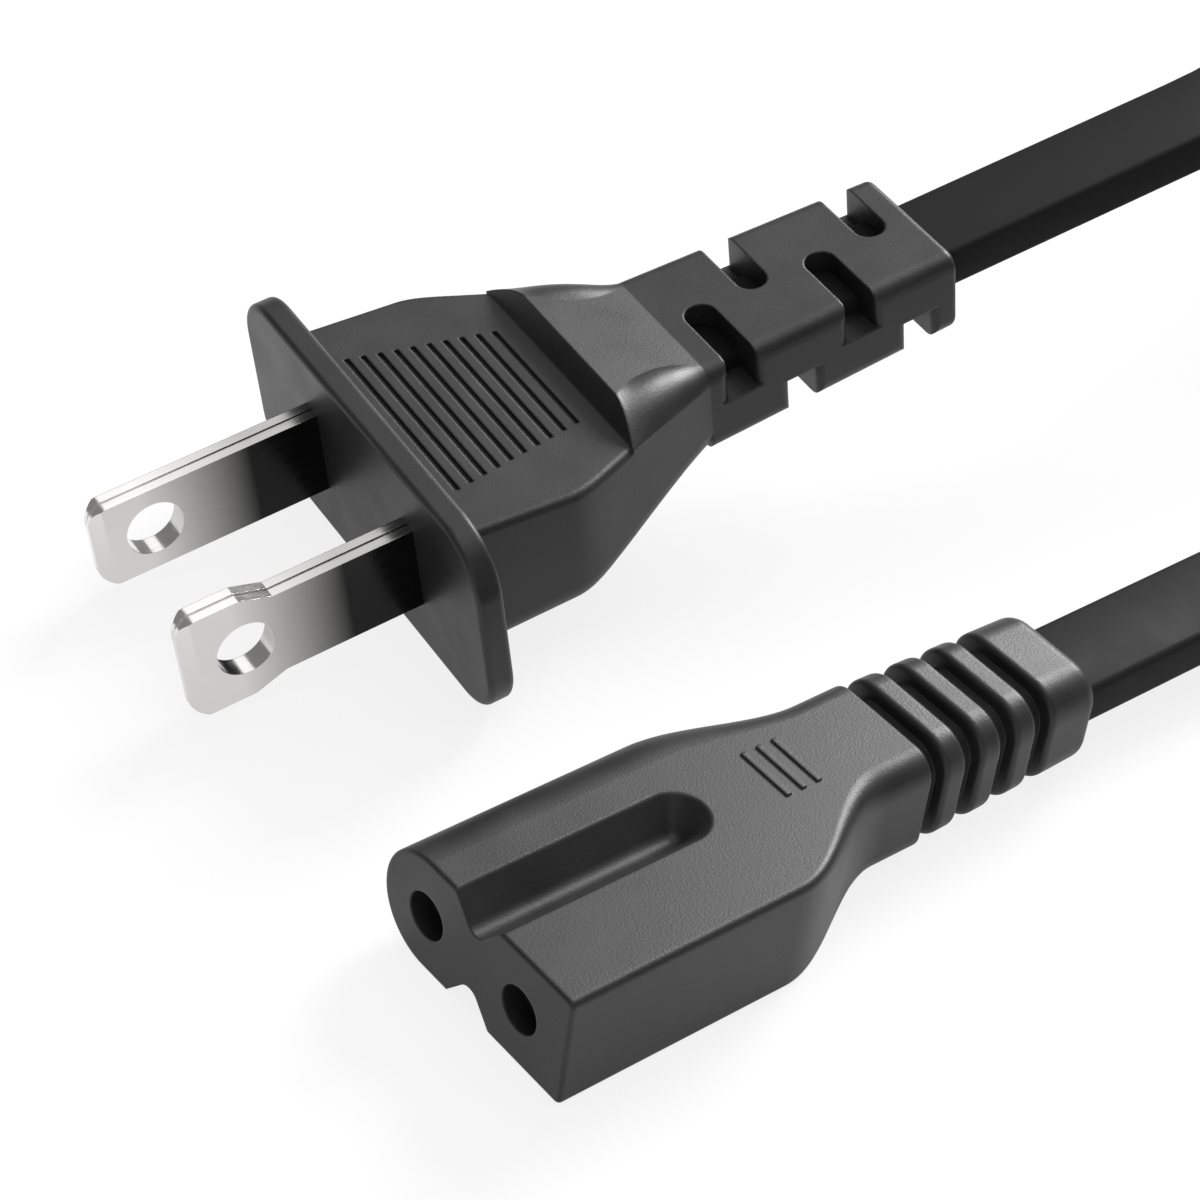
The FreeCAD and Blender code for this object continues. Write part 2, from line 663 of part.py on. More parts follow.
def rear_section(y):
    """Outline with round lower corners, and shoulders that slope at the step and grow round behind it."""
    share = (y - STEP_Y) / (PLUG_TAPER_END - STEP_Y)
    start_top = panel_top(STEP_Y) + STEP_HEIGHT
    top = start_top + share * (PLUG_RELIEF_START_HALF_HEIGHT - start_top)
    rise = STEP_HEIGHT + share * (PLUG_RELIEF_CORNER_RADIUS - STEP_HEIGHT)
    run = shoulder_inset(share)
    half = plug_half_width(y)
    eased = smooth_step(min((y - STEP_Y) / SHOULDER_CREASE_LENGTH, 1))
    bulge = SHOULDER_FLATNESS + eased * ((math.sqrt(2) - 1) / 2 - SHOULDER_FLATNESS)
    shoulder = [V(half, y, top - rise),
                V(half - run / 2 + rise * bulge, y, top - rise / 2 + run * bulge),
                V(half - run, y, top)]
    low = PLUG_BOTTOM_EDGE_RADIUS
    diagonal = low * (1 - math.sqrt(0.5))
    bottom = plug_bottom(y)
    lower = [V(half - low, y, bottom), V(half - diagonal, y, bottom + diagonal), V(half, y, bottom + low)]
    return closed_outline([mirrored(lower), lower, shoulder, mirrored(shoulder)])


def mirrored(points):
    """The same points on the other side, in the opposite order."""
    return [V(-point.x, point.y, point.z) for point in reversed(points)]


def plug_rear():
    """Block behind the step, with a wall that leans back from the panel's end, falling to the relief."""
    wires = [rear_section(y) for y in stations(STEP_Y, PLUG_TAPER_END, PLUG_STATIONS)]
    block = Part.makeLoft(wires, True, False)
    reach = 2 * PLUG_BODY_HALF_WIDTH
    foot = V(-PLUG_BODY_HALF_WIDTH, STEP_Y, panel_top(STEP_Y))
    past = foot + V(0, STEP_LEAN, STEP_HEIGHT) * 1.5
    corners = [foot, past, V(past.x, STEP_Y - 1, past.z), V(foot.x, STEP_Y - 1, foot.z), foot]
    return block.cut(Part.Face(Part.makePolygon(corners)).extrude(V(reach, 0, 0)))


def grip_grooves():
    """Row of fine grooves across the panel, shorter towards the step."""
    cutters = []
    tilt = math.degrees(math.atan2(PANEL_DROP, PANEL_LENGTH))
    for index in range(GRIP_COUNT):
        y = FLANGE_THICKNESS + GRIP_FIRST_FROM_FLANGE + index * GRIP_PITCH
        share = index / (GRIP_COUNT - 1)
        length = GRIP_FIRST_LENGTH + share * (GRIP_LAST_LENGTH - GRIP_FIRST_LENGTH)
        groove = box(-length / 2, length / 2, -GRIP_WIDTH / 2, GRIP_WIDTH / 2, -GRIP_DEPTH, 1)
        groove.rotate(V(0, 0, 0), V(1, 0, 0), -tilt)
        groove.translate(V(0, y, panel_top(y)))
        cutters.append(groove)
    return cutters


def plug_relief_block():
    wires = [
        even_section(PLUG_TAPER_END, PLUG_RELIEF_START_HALF_WIDTH, 0,
                     PLUG_RELIEF_START_HALF_HEIGHT, PLUG_RELIEF_CORNER_RADIUS),
        even_section(PLUG_RELIEF_END, PLUG_RELIEF_END_HALF_WIDTH, 0,
                     PLUG_RELIEF_END_HALF_HEIGHT, PLUG_RELIEF_CORNER_RADIUS),
    ]
    block = Part.makeLoft(wires, True, True)
    return block.makeFillet(PLUG_RELIEF_EDGE_RADIUS, end_edges(block, PLUG_RELIEF_END))


def plug_relief_half_width(y):
    share = (y - PLUG_TAPER_END) / PLUG_RELIEF_LENGTH
    return PLUG_RELIEF_START_HALF_WIDTH + share * (PLUG_RELIEF_END_HALF_WIDTH - PLUG_RELIEF_START_HALF_WIDTH)


def slot_flare(y, side, low, high):
    """Rounds the two corners of the relief's side wall at a slot's open end."""
    radius = SLOT_CORNER_RADIUS
    outside = PLUG_RELIEF_START_HALF_WIDTH + 1
    inner = plug_relief_half_width(y) - radius
    half = SLOT_WIDTH / 2 + radius
    block = box(min(side * inner, side * outside), max(side * inner, side * outside),
                y - half, y + half, low, high)
    rounds = [Part.makeCylinder(radius, high - low, V(side * inner, y + way * half, low), V(0, 0, 1))
              for way in (-1, 1)]
    return cut_by(block, *rounds)


def relief_slots():
    """Round-ended slots from alternate sides; the lower ones lie opposite the upper ones."""
    cutters = []
    outside = PLUG_RELIEF_START_HALF_WIDTH + 1
    height = PLUG_RELIEF_START_HALF_HEIGHT + 1
    for index in range(SLOT_COUNT):
        y = PLUG_TAPER_END + SLOT_FIRST + index * SLOT_HALF_PITCH
        for level in (1, -1):
            side = level if index % 2 == 0 else -level
            end_x = side * (SLOT_WIDTH / 2 - SLOT_PAST_MIDDLE)
            low = SLOT_RIDGE_HALF_HEIGHT if level > 0 else -height
            high = height if level > 0 else -SLOT_RIDGE_HALF_HEIGHT
            slot = box(min(end_x, side * outside), max(end_x, side * outside),
                       y - SLOT_WIDTH / 2, y + SLOT_WIDTH / 2, low, high)
            end = Part.makeCylinder(SLOT_WIDTH / 2, high - low, V(end_x, y, low), V(0, 0, 1))
            cutters.append(joined(slot, end))
            cutters.append(slot_flare(y, side, low, high))
    return cutters


def plug_bridge():
    """Moulded bridge that holds both blades at their spacing."""
    half_x = BLADE_SPACING / 2 + BLADE_THICKNESS / 2 + BRIDGE_SIDE_WALL
    half_z = BLADE_WIDTH / 2 + BRIDGE_TOP_WALL
    block = box(-half_x, half_x, BRIDGE_START, BRIDGE_END, -half_z, half_z)
    return cut_by(block, blade(-1), blade(1))


def blade_outline(width, inset):
    """Side outline of a blade in YZ, from the bridge's rear to the rounded tip, narrower by an inset."""
    half = BLADE_WIDTH / 2 - inset
    tip_half = width / 2 - inset
    tip = -BLADE_LENGTH
    radius = BLADE_TIP_RADIUS
    diagonal = radius * (1 - math.sqrt(0.5))
    lower = [V(0, BRIDGE_END, -half), V(0, -FLARE_START, -half), V(0, -FLARE_END, -tip_half),
             V(0, tip + radius, -tip_half)]
    corner_low = V(0, tip + diagonal, -tip_half + diagonal)
    corner_high = V(0, tip + diagonal, tip_half - diagonal)
    tip_low = V(0, tip, -tip_half + radius)
    tip_high = V(0, tip, tip_half - radius)
    upper = [V(0, tip + radius, tip_half), V(0, -FLARE_END, tip_half), V(0, -FLARE_START, half),
             V(0, BRIDGE_END, half)]
    edges = [Part.LineSegment(lower[index], lower[index + 1]).toShape() for index in range(3)]
    edges.append(Part.Arc(lower[-1], corner_low, tip_low).toShape())
    edges.append(Part.LineSegment(tip_low, tip_high).toShape())
    edges.append(Part.Arc(tip_high, corner_high, upper[0]).toShape())
    edges += [Part.LineSegment(upper[index], upper[index + 1]).toShape() for index in range(3)]
    edges.append(Part.LineSegment(upper[-1], lower[0]).toShape())
    return Part.Wire(edges)


def blade_seams(width):
    """Fine grooves along both narrow edges, between the folded strip's two layers."""
    rims = Part.Face(blade_outline(width, 0)).cut(Part.Face(blade_outline(width, SEAM_DEPTH)))
    seams = rims.extrude(V(SEAM_WIDTH, 0, 0))
    seams.translate(V(-SEAM_WIDTH / 2, 0, 0))
    return seams


def blade_tip_wedges(width):
    """Cuts that bevel both faces towards the tip."""
    wedges = []
    for way in (-1, 1):
        start = V(way * BLADE_THICKNESS / 2, BLADE_TIP_BEVEL_LENGTH - BLADE_LENGTH, -width)
        past = start + V(-way * BLADE_TIP_BEVEL, -BLADE_TIP_BEVEL_LENGTH, 0) * 1.5
        outside = start.x + way
        corners = [start, past, V(outside, past.y, start.z), V(outside, start.y, start.z), start]
        wedges.append(Part.Face(Part.makePolygon(corners)).extrude(V(0, 0, 2 * width)))
    return wedges


def blade(side):
    """Blade with a bevelled tip and a round hole, and its crimp tail behind the bridge."""
    x = side * BLADE_SPACING / 2
    width = WIDE_BLADE_WIDTH if side > 0 else BLADE_WIDTH
    plate = Part.Face(blade_outline(width, 0)).extrude(V(BLADE_THICKNESS, 0, 0))
    plate.translate(V(-BLADE_THICKNESS / 2, 0, 0))
    hole = Part.makeCylinder(BLADE_HOLE_RADIUS, BLADE_THICKNESS + 2,
                             V(-BLADE_THICKNESS / 2 - 1, -BLADE_HOLE_FROM_FACE, 0), V(1, 0, 0))
    plate = cut_by(plate, hole, blade_seams(width), *blade_tip_wedges(width))
    tail_end_y = BRIDGE_END + BLADE_TAIL_LENGTH
    tail = box(-BLADE_THICKNESS / 2, BLADE_THICKNESS / 2, BRIDGE_END, tail_end_y,
               -BLADE_TAIL_WIDTH / 2, BLADE_TAIL_WIDTH / 2)
    barrel = rod(CRIMP_RADIUS, tail_end_y, tail_end_y + BLADE_CRIMP_LENGTH, 0, 0)
    whole = joined(plate, tail, barrel)
    whole.translate(V(x, 0, 0))
    return cut_by(whole, plug_strands(side))


def plug_strands(side):
    return rod(STRAND_RADIUS, BRIDGE_END + BLADE_TAIL_LENGTH, PLUG_STRANDS_END,
               side * BLADE_SPACING / 2, 0)


def plug_core(side, label):
    start = V(side * BLADE_SPACING / 2, PLUG_STRANDS_END, 0)
    end = V(side * CORE_SPACING / 2, PLUG_JACKET_START, 0)
    return core_leg(start, end, label)


def jacket_stub():
    """The cord's own outline through the plug's relief, for the overmould's bore."""
    wire = even_section(PLUG_JACKET_START, CORD_WIDTH / 2, 0, CORD_THICKNESS / 2, CORD_CORNER_RADIUS)
    return Part.Face(wire).extrude(V(0, PLUG_RELIEF_END - PLUG_JACKET_START + 1, 0))


def plug_body(inner):
    """Overmould with flange, stepped grip and slotted relief, moulded round everything that it holds."""
    flange_wire = even_section(0, FLANGE_WIDTH / 2, 0, FLANGE_HEIGHT / 2, FLANGE_CORNER_RADIUS)
    flange = Part.Face(flange_wire).extrude(V(0, FLANGE_THICKNESS, 0))
    rims = end_edges(flange, 0) + end_edges(flange, FLANGE_THICKNESS)
    flange = flange.makeFillet(FLANGE_EDGE_RADIUS, rims)
    shell = joined(flange, *plug_front(), plug_rear(), plug_relief_block())
    return cut_by(shell, *grip_grooves(), *relief_slots(), jacket_stub(), *inner)


def export(name, shape):
    """One closed, valid solid per node."""
    solids = shape.Solids
    if len(solids) != 1 or not solids[0].isValid():
        raise ValueError(f"{name}: {len(solids)} solids, valid {[solid.isValid() for solid in solids]}")
    solids[0].exportStep(os.path.join("parts", name + ".step"))
    box_of = solids[0].BoundBox
    print(f"{name}: {solids[0].Volume:.1f} mm3, x {box_of.XMin:.2f}..{box_of.XMax:.2f}, "
          f"y {box_of.YMin:.2f}..{box_of.YMax:.2f}, z {box_of.ZMin:.2f}..{box_of.ZMax:.2f}")


def main():
    os.makedirs("parts", exist_ok=True)
    cord_run = connector_cord_run()
    connector_inner = {
        "connector_insert": connector_insert(),
        "contact_line": contact(-1),
        "contact_neutral": contact(1),
        "connector_strands_line": connector_strands(-1),
        "connector_strands_neutral": connector_strands(1),
        "connector_core_line": connector_core(-1, "connector_core_line"),
        "connector_core_neutral": connector_core(1, "connector_core_neutral"),
    }
    plug_inner = {
        "plug_bridge": plug_bridge(),
        "blade_line": blade(-1),
        "blade_neutral": blade(1),
        "plug_strands_line": plug_strands(-1),
        "plug_strands_neutral": plug_strands(1),
        "plug_core_line": plug_core(-1, "plug_core_line"),
        "plug_core_neutral": plug_core(1, "plug_core_neutral"),
    }
    export("connector_body", connector_body([*connector_inner.values(), cord_run]))
    for name, shape in connector_inner.items():
        export(name, shape)
    export("plug_body", placed(plug_body(list(plug_inner.values()))))
    for name, shape in plug_inner.items():
        export(name, placed(shape))
    export("cord_connector_run", cord_run)
    export("cord_plug_run", plug_cord_run())
    strap = tie()
    export("cord_coil", cut_by(coil(), strap))
    export("coil_tie", strap)


main()
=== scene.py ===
"""Figure eight power connector on its lead: camera, cord, finishes and light."""
import json
import math

import bpy
from mathutils import Matrix, Vector


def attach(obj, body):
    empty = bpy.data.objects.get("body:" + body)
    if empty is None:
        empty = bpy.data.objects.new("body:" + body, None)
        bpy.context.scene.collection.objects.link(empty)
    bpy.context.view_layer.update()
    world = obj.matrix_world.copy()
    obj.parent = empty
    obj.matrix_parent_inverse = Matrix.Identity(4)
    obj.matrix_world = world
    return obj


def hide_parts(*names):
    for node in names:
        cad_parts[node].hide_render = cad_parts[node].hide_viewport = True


MM = 0.001

# Camera: where it looks from, and the point on the floor that it looks at
CAMERA_AZIMUTH = 46.6
CAMERA_ELEVATION = 39.2
CAMERA_ROLL = 7.8
CAMERA_DISTANCE = 226.3 * MM
CAMERA_TARGET = Vector((-24.73, 6.87, 0)) * MM
CAMERA_LENS = 105.0
CAMERA_CLIP = (0.01, 10)
SENSOR_WIDTH = 36.0

# Cord and connector sizes
CORD_WIDTH = 6.4 * MM
CORD_THICKNESS = 3.1 * MM
CORD_CORNER_RADIUS = 0.5 * MM
CONNECTOR_AXIS_X = -0.085 * MM
CONNECTOR_AXIS_Z = 4.2 * MM
CONNECTOR_FRONT_Y = -22.35 * MM
CONNECTOR_JACKET_START = 28.7 * MM

# Plug placement
PLUG_ORIGIN = Vector((-33.6, -6.1, 7.2383)) * MM
PLUG_YAW = -7.5
PLUG_PITCH = 12.0
PLUG_JACKET_START = 21.9 * MM

# Wound coil: two columns of turns and four layers, entered at the bottom and left at the top
COIL_MID_RADIUS = 35.5 * MM
COIL_COLUMNS = 2
COIL_LAYERS = 4
COIL_TURN_GAP = 0.15 * MM
TAIL_LENGTH = 20.0 * MM
ENTRY_ANGLE = 325.0
EXIT_ANGLE = 202.0
ENTRY_LEAD = 15.0
SHIFT_ZONE = 30.0
TURN_POINTS = 24

# Cord route: points of the connector's straight stretch, each cord's last run into the coil's tail, how far
# the connector's tail lies above the lowest turns' middle, and where each cord turns on edge and lies flat
CONNECTOR_CORD_MIDDLE = 51.45 * MM
CONNECTOR_CORD_STRAIGHT = 71.35 * MM
CONNECTOR_LAST_RUN = 16.0 * MM
CONNECTOR_TAIL_LIFT = 0.2 * MM
PLUG_LAST_RUN = 21.0 * MM
CONNECTOR_TWIST = (38.0 * MM, 76.0 * MM)
PLUG_TWIST = (44.0 * MM, 78.0 * MM)

# Cord line and section: points between control points, order of the smooth line, and points round a corner
CORD_STEPS = 8
CORD_ORDER = 3
CORNER_STEPS = 3

# Overmould: two tones, roughness, shine, depth of its grain and radius of its edges in millimetres
OVERMOULD_TONES = ((0.015, 0.015, 0.016), (0.021, 0.021, 0.022))
OVERMOULD_ROUGHNESS = (0.39, 0.46)
OVERMOULD_SHINE = 0.36
OVERMOULD_GRAIN_DEPTH = 0.012
OVERMOULD_EDGE = 0.22

# Cord jacket: tone, roughness, shine and depth of its waves in millimetres
JACKET_TONE = (0.015, 0.015, 0.016)
JACKET_ROUGHNESS = (0.45, 0.55)
JACKET_SHINE = 0.04
JACKET_WAVE_DEPTH = 0.006

# Blade plating: where its painted shade, a dark reflection of the black flange painted onto it, starts and
# ends in millimetres from the flange, its own tone and the painted dark tone, how much of that painted
# shade its edges take, and its roughness, marks and edges
NICKEL_PAINTED_SHADE_SPAN = (-12.5, -4.8)
NICKEL_TIP = (0.78, 0.77, 0.75)
NICKEL_PAINTED_SHADE_TONE = (0.02, 0.02, 0.02)
NICKEL_EDGE_PAINTED_SHADE_SHARE = 0.45
NICKEL_ROUGHNESS = (0.14, 0.24)
NICKEL_MARK_STRETCH = (3.0, 0.25, 3.0)
NICKEL_MARK_DEPTH = 0.004
NICKEL_EDGE = 0.06

# Other finishes: how much darker and how much rougher or smoother the mottling gets, and its depth
PLAIN_DARKER = 0.9
PLAIN_ROUGHNESS_SPREAD = 0.06
PLAIN_DEPTH = 0.01

# Floor: half its side, its drop below the part, tone, roughness, and how white it shows to each kind of ray
FLOOR_HALF_SIDE = 3.0
FLOOR_DROP = 0.02 * MM
FLOOR_TONE = (0.85, 0.85, 0.85)
FLOOR_ROUGHNESS = 0.9
FLOOR_WHITE = {"Is Camera Ray": 0.84, "Is Glossy Ray": 0.6}

# Lights: name, place and side in metres, and power in watts, all aimed at one place
LIGHTS = (
    ("rear", (-0.177, 0.487, 0.376), 0.26, 6.2),
    ("top", (0.05, 0.02, 0.75), 0.6, 1.8),
    ("fill", (0.5, -0.3, 0.25), 0.4, 0.4),
    ("left", (-0.36, 0.11, 0.42), 0.3, 0.3),
)
LIGHT_AIM = Vector((-0.02, 0.01, 0))
WORLD_STRENGTH = 0.25


# Camera

def add_camera():
    """Looks at the target from the photograph's side, turned a little about its own axis."""
    azimuth = math.radians(CAMERA_AZIMUTH)
    elevation = math.radians(CAMERA_ELEVATION)
    roll = math.radians(CAMERA_ROLL)
    back = Vector((math.sin(azimuth) * math.cos(elevation),
                   -math.cos(azimuth) * math.cos(elevation),
                   math.sin(elevation)))
    right = Vector((math.cos(azimuth), math.sin(azimuth), 0))
    up = back.cross(right)
    turned_right = math.cos(roll) * right + math.sin(roll) * up
    turned_up = math.cos(roll) * up - math.sin(roll) * right
    data = bpy.data.cameras.new("camera")
    data.lens = CAMERA_LENS
    data.sensor_width = SENSOR_WIDTH
    data.clip_start, data.clip_end = CAMERA_CLIP
    camera = bpy.data.objects.new("camera", data)
    bpy.context.scene.collection.objects.link(camera)
    turn = Matrix((turned_right, turned_up, back)).transposed()
    camera.matrix_world = Matrix.Translation(CAMERA_TARGET + back * CAMERA_DISTANCE) @ turn.to_4x4()
    bpy.context.scene.camera = camera


# Cord

def plug_turn():
    return (Matrix.Rotation(math.radians(PLUG_YAW), 4, "Z")
            @ Matrix.Rotation(math.radians(PLUG_PITCH), 4, "X"))


def plug_point(x, y, z):
    """A point of the plug's own frame, in the row frame."""
    return PLUG_ORIGIN + plug_turn() @ Vector((x, y, z))


def column_radius(column):
    """Middle of a turn, counted from the outside."""
    pitch = CORD_THICKNESS + COIL_TURN_GAP
    return COIL_MID_RADIUS + ((COIL_COLUMNS - 1) / 2 - column) * pitch


def layer_height(layer):
    return (layer + 0.5) * (CORD_WIDTH + COIL_TURN_GAP)


def smooth_step(t):
    t = min(max(t, 0.0), 1.0)
    return t * t * (3 - 2 * t)


def coil_plan():
    """Stages of the winding: degrees, then column and layer at the stage's end.

    Each layer has a turn in both columns. Each shift to the next place starts one zone before the last one
    did, so no two shifts lie side by side.
    """
    stages = [(360 - SHIFT_ZONE - ENTRY_LEAD, 0, 0), (SHIFT_ZONE, 1, 0)]
    column = 1
    for layer in range(1, COIL_LAYERS):
        stages += [(360 - 2 * SHIFT_ZONE, column, layer - 1), (SHIFT_ZONE, column, layer)]
        stages += [(360 - 2 * SHIFT_ZONE, column, layer), (SHIFT_ZONE, 1 - column, layer)]
        column = 1 - column
    reached = ENTRY_ANGLE + sum(stage[0] for stage in stages)
    stages.append(((EXIT_ANGLE - reached) % 360, column, COIL_LAYERS - 1))
    return stages


def coil_points(middle):
    """Control points of the turns, set outside each turn so that the smooth line has the turn's radius."""
    points = []
    angle = ENTRY_ANGLE
    column, layer = 0, 0
    for degrees, next_column, next_layer in coil_plan():
        count = round(degrees * TURN_POINTS / 360)
        step = degrees / count
        for index in range(count):
            share = smooth_step((index + 0.5) / count)
            radius = column_radius(column) + share * (column_radius(next_column) - column_radius(column))
            height = layer_height(layer) + share * (layer_height(next_layer) - layer_height(layer))
            turn = math.radians(angle + (index + 0.5) * step)
            reach = radius / math.cos(math.radians(step / 2))
            points.append(middle + Vector((reach * math.cos(turn), reach * math.sin(turn), height)))
        angle += degrees
        column, layer = next_column, next_layer
    return points


def tail_heading(angle, way):
    """Heading of the cord into the turn that it touches at this angle."""
    turn = math.radians(angle)
    return Vector((-way * math.sin(turn), way * math.cos(turn), 0))


def touch_offset(angle):
    """From the coil's middle to where a tail touches the outer turn."""
    turn = math.radians(angle)
    return Vector((math.cos(turn), math.sin(turn), 0)) * column_radius(0)


def cord_route():
    """Control points of the whole cord, from inside the connector to inside the plug."""
    def along_connector(distance):
        return Vector((CONNECTOR_AXIS_X, CONNECTOR_FRONT_Y + distance, CONNECTOR_AXIS_Z))

    top = layer_height(COIL_LAYERS - 1)
    level = (top - PLUG_ORIGIN.z) / math.sin(math.radians(PLUG_PITCH))
    bend = plug_point(0, level, 0)
    far_heading = tail_heading(EXIT_ANGLE, -1)
    far_tail = bend + far_heading * PLUG_LAST_RUN
    middle = far_tail + far_heading * TAIL_LENGTH - touch_offset(EXIT_ANGLE)
    middle.z = 0
    near_heading = tail_heading(ENTRY_ANGLE, 1)
    near_tail = middle + touch_offset(ENTRY_ANGLE) - near_heading * TAIL_LENGTH
    near_tail.z = layer_height(0) + CONNECTOR_TAIL_LIFT
    return [
        along_connector(CONNECTOR_JACKET_START),
        along_connector(CONNECTOR_CORD_MIDDLE),
        along_connector(CONNECTOR_CORD_STRAIGHT),
        near_tail - near_heading * CONNECTOR_LAST_RUN,
        near_tail,
        *coil_points(middle),
        far_tail,
        bend,
        plug_point(0, level - PLUG_LAST_RUN, 0),
        plug_point(0, PLUG_JACKET_START, 0),
    ]


def smooth_line(points):
    """Points along a smooth line with these control points."""
    curve = bpy.data.curves.new("cord_line", "CURVE")
    curve.dimensions = "3D"
    spline = curve.splines.new("NURBS")
    spline.points.add(len(points) - 1)
    for point, place in zip(spline.points, points):
        point.co = (*place, 1)
    spline.order_u = CORD_ORDER
    spline.use_endpoint_u = True
    spline.resolution_u = CORD_STEPS
    line = bpy.data.objects.new("cord_line", curve)
    bpy.context.scene.collection.objects.link(line)
    bpy.context.view_layer.update()
    mesh = bpy.data.meshes.new_from_object(line)
    places = [vertex.co.copy() for vertex in mesh.vertices]
    bpy.data.meshes.remove(mesh)
    bpy.data.objects.remove(line)
    bpy.data.curves.remove(curve)
    return places


def cord_outline():
    """Rounded flat section: pairs of across and up."""
    half_width = CORD_WIDTH / 2 - CORD_CORNER_RADIUS
    half_height = CORD_THICKNESS / 2 - CORD_CORNER_RADIUS
    outline = []
    for corner, (side, level) in enumerate(((1, 1), (-1, 1), (-1, -1), (1, -1))):
        for index in range(CORNER_STEPS + 1):
            angle = math.radians(90 * (corner + index / CORNER_STEPS))
            outline.append((side * half_width + CORD_CORNER_RADIUS * math.cos(angle),
                            level * half_height + CORD_CORNER_RADIUS * math.sin(angle)))
    return outline


def cord_twist(along, whole):
    """Quarter turn that stands the flat cord on edge before the coil, and lays it down again after."""
    start, end = CONNECTOR_TWIST
    standing = smooth_step((along - start) / (end - start))
    start, end = PLUG_TWIST
    lying = smooth_step((whole - along - start) / (end - start))
    return math.radians(90) * min(standing, lying)


def cord_mesh(line):
    """Flat cord along the line."""
    distances = [0.0]
    for before, after in zip(line, line[1:]):
        distances.append(distances[-1] + (after - before).length)
    outline = cord_outline()
    vertices = []
    for index, middle in enumerate(line):
        heading = line[min(index + 1, len(line) - 1)] - line[max(index - 1, 0)]
        heading.normalize()
        across = heading.cross(Vector((0, 0, 1))).normalized()
        up = across.cross(heading)
        twist = cord_twist(distances[index], distances[-1])
        wide = math.cos(twist) * across + math.sin(twist) * up
        thin = math.cos(twist) * up - math.sin(twist) * across
        vertices += [middle + wide * a + thin * b for a, b in outline]
    count = len(outline)
    faces = []
    for ring in range(len(line) - 1):
        for side in range(count):
            following = (side + 1) % count
            faces.append((ring * count + side, ring * count + following,
                          (ring + 1) * count + following, (ring + 1) * count + side))
    last = (len(line) - 1) * count
    faces.append(tuple(range(count)))
    faces.append(tuple(last + side for side in reversed(range(count))))
    mesh = bpy.data.meshes.new("cord")
    mesh.from_pydata(vertices, [], faces)
    mesh.update()
    for polygon in mesh.polygons:
        polygon.use_smooth = len(polygon.vertices) == 4
    return mesh, distances[-1]


def add_cord(finish):
    line = smooth_line(cord_route())
    mesh, length = cord_mesh(line)
    print("cord length m", round(length, 4))
    mesh.materials.append(finish)
    piece = bpy.data.objects.new("cord", mesh)
    bpy.context.scene.collection.objects.link(piece)
    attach(piece, "root")
    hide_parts("cord_connector_run", "cord_plug_run", "cord_coil")


# Materials

def new_material(name, colour, roughness, metallic=0.0):
    """Material with its main shader; returns the material, its node tree and that shader."""
    material = bpy.data.materials.new(name)
    material.use_nodes = True
    tree = material.node_tree
    shader = tree.nodes["Principled BSDF"]
    shader.inputs["Base Color"].default_value = (*colour, 1)
    shader.inputs["Roughness"].default_value = roughness
    shader.inputs["Metallic"].default_value = metallic
    return material, tree, shader


def object_place(tree):
    """Object coordinates in millimetres."""
    place = tree.nodes.new("ShaderNodeTexCoord")
    mapping = tree.nodes.new("ShaderNodeMapping")
    mapping.inputs["Scale"].default_value = [1 / MM] * 3
    tree.links.new(place.outputs["Object"], mapping.inputs["Vector"])
    return mapping.outputs["Vector"]


def plug_place(tree):
    """The plug's own coordinates in millimetres: blades towards -Y from its face, side by side along X."""
    place = tree.nodes.new("ShaderNodeTexCoord")
    mapping = tree.nodes.new("ShaderNodeMapping")
    mapping.vector_type = "TEXTURE"
    mapping.inputs["Location"].default_value = PLUG_ORIGIN
    mapping.inputs["Rotation"].default_value = (math.radians(PLUG_PITCH), 0, math.radians(PLUG_YAW))
    mapping.inputs["Scale"].default_value = [MM] * 3
    tree.links.new(place.outputs["Object"], mapping.inputs["Vector"])
    return mapping.outputs["Vector"]


def split_off(tree, vector, axis):
    """One coordinate of a vector."""
    apart = tree.nodes.new("ShaderNodeSeparateXYZ")
    tree.links.new(vector, apart.inputs["Vector"])
    return apart.outputs[axis]


def calculated(tree, operation, *values):
    """Result of one operation on node outputs and plain numbers."""
    node = tree.nodes.new("ShaderNodeMath")
    node.operation = operation
    for value, socket in zip(values, node.inputs):
        if isinstance(value, bpy.types.NodeSocket):
            tree.links.new(value, socket)
        else:
            socket.default_value = value
    return node.outputs["Value"]


def noise(tree, place, scale, detail=2.0, roughness=0.5):
    node = tree.nodes.new("ShaderNodeTexNoise")
    node.inputs["Scale"].default_value = scale
    node.inputs["Detail"].default_value = detail
    node.inputs["Roughness"].default_value = roughness
    tree.links.new(place, node.inputs["Vector"])
    return node.outputs["Fac"]


def spread(tree, value, low, high, from_low=0.3, from_high=0.7):
    """Maps a value to a range; without its own limits, it is taken to run as noise does."""
    node = tree.nodes.new("ShaderNodeMapRange")
    node.inputs["From Min"].default_value = from_low
    node.inputs["From Max"].default_value = from_high
    node.inputs["To Min"].default_value = low
    node.inputs["To Max"].default_value = high
    tree.links.new(value, node.inputs["Value"])
    return node.outputs["Result"]


def tinted(tree, shader, factor, dark, light):
    """Colour that runs between two tones."""
    mix = tree.nodes.new("ShaderNodeMix")
    mix.data_type = "RGBA"
    mix.inputs["A"].default_value = (*dark, 1)
    mix.inputs["B"].default_value = (*light, 1)
    tree.links.new(factor, mix.inputs["Factor"])
    tree.links.new(mix.outputs["Result"], shader.inputs["Base Color"])


def bumped(tree, shader, height, depth, normal=None):
    """Surface relief of this depth in millimetres, over a softened normal if there is one."""
    bump = tree.nodes.new("ShaderNodeBump")
    if normal is not None:
        tree.links.new(normal, bump.inputs["Normal"])
    bump.inputs["Strength"].default_value = 1.0
    bump.inputs["Distance"].default_value = depth * MM
    tree.links.new(height, bump.inputs["Height"])
    tree.links.new(bump.outputs["Normal"], shader.inputs["Normal"])


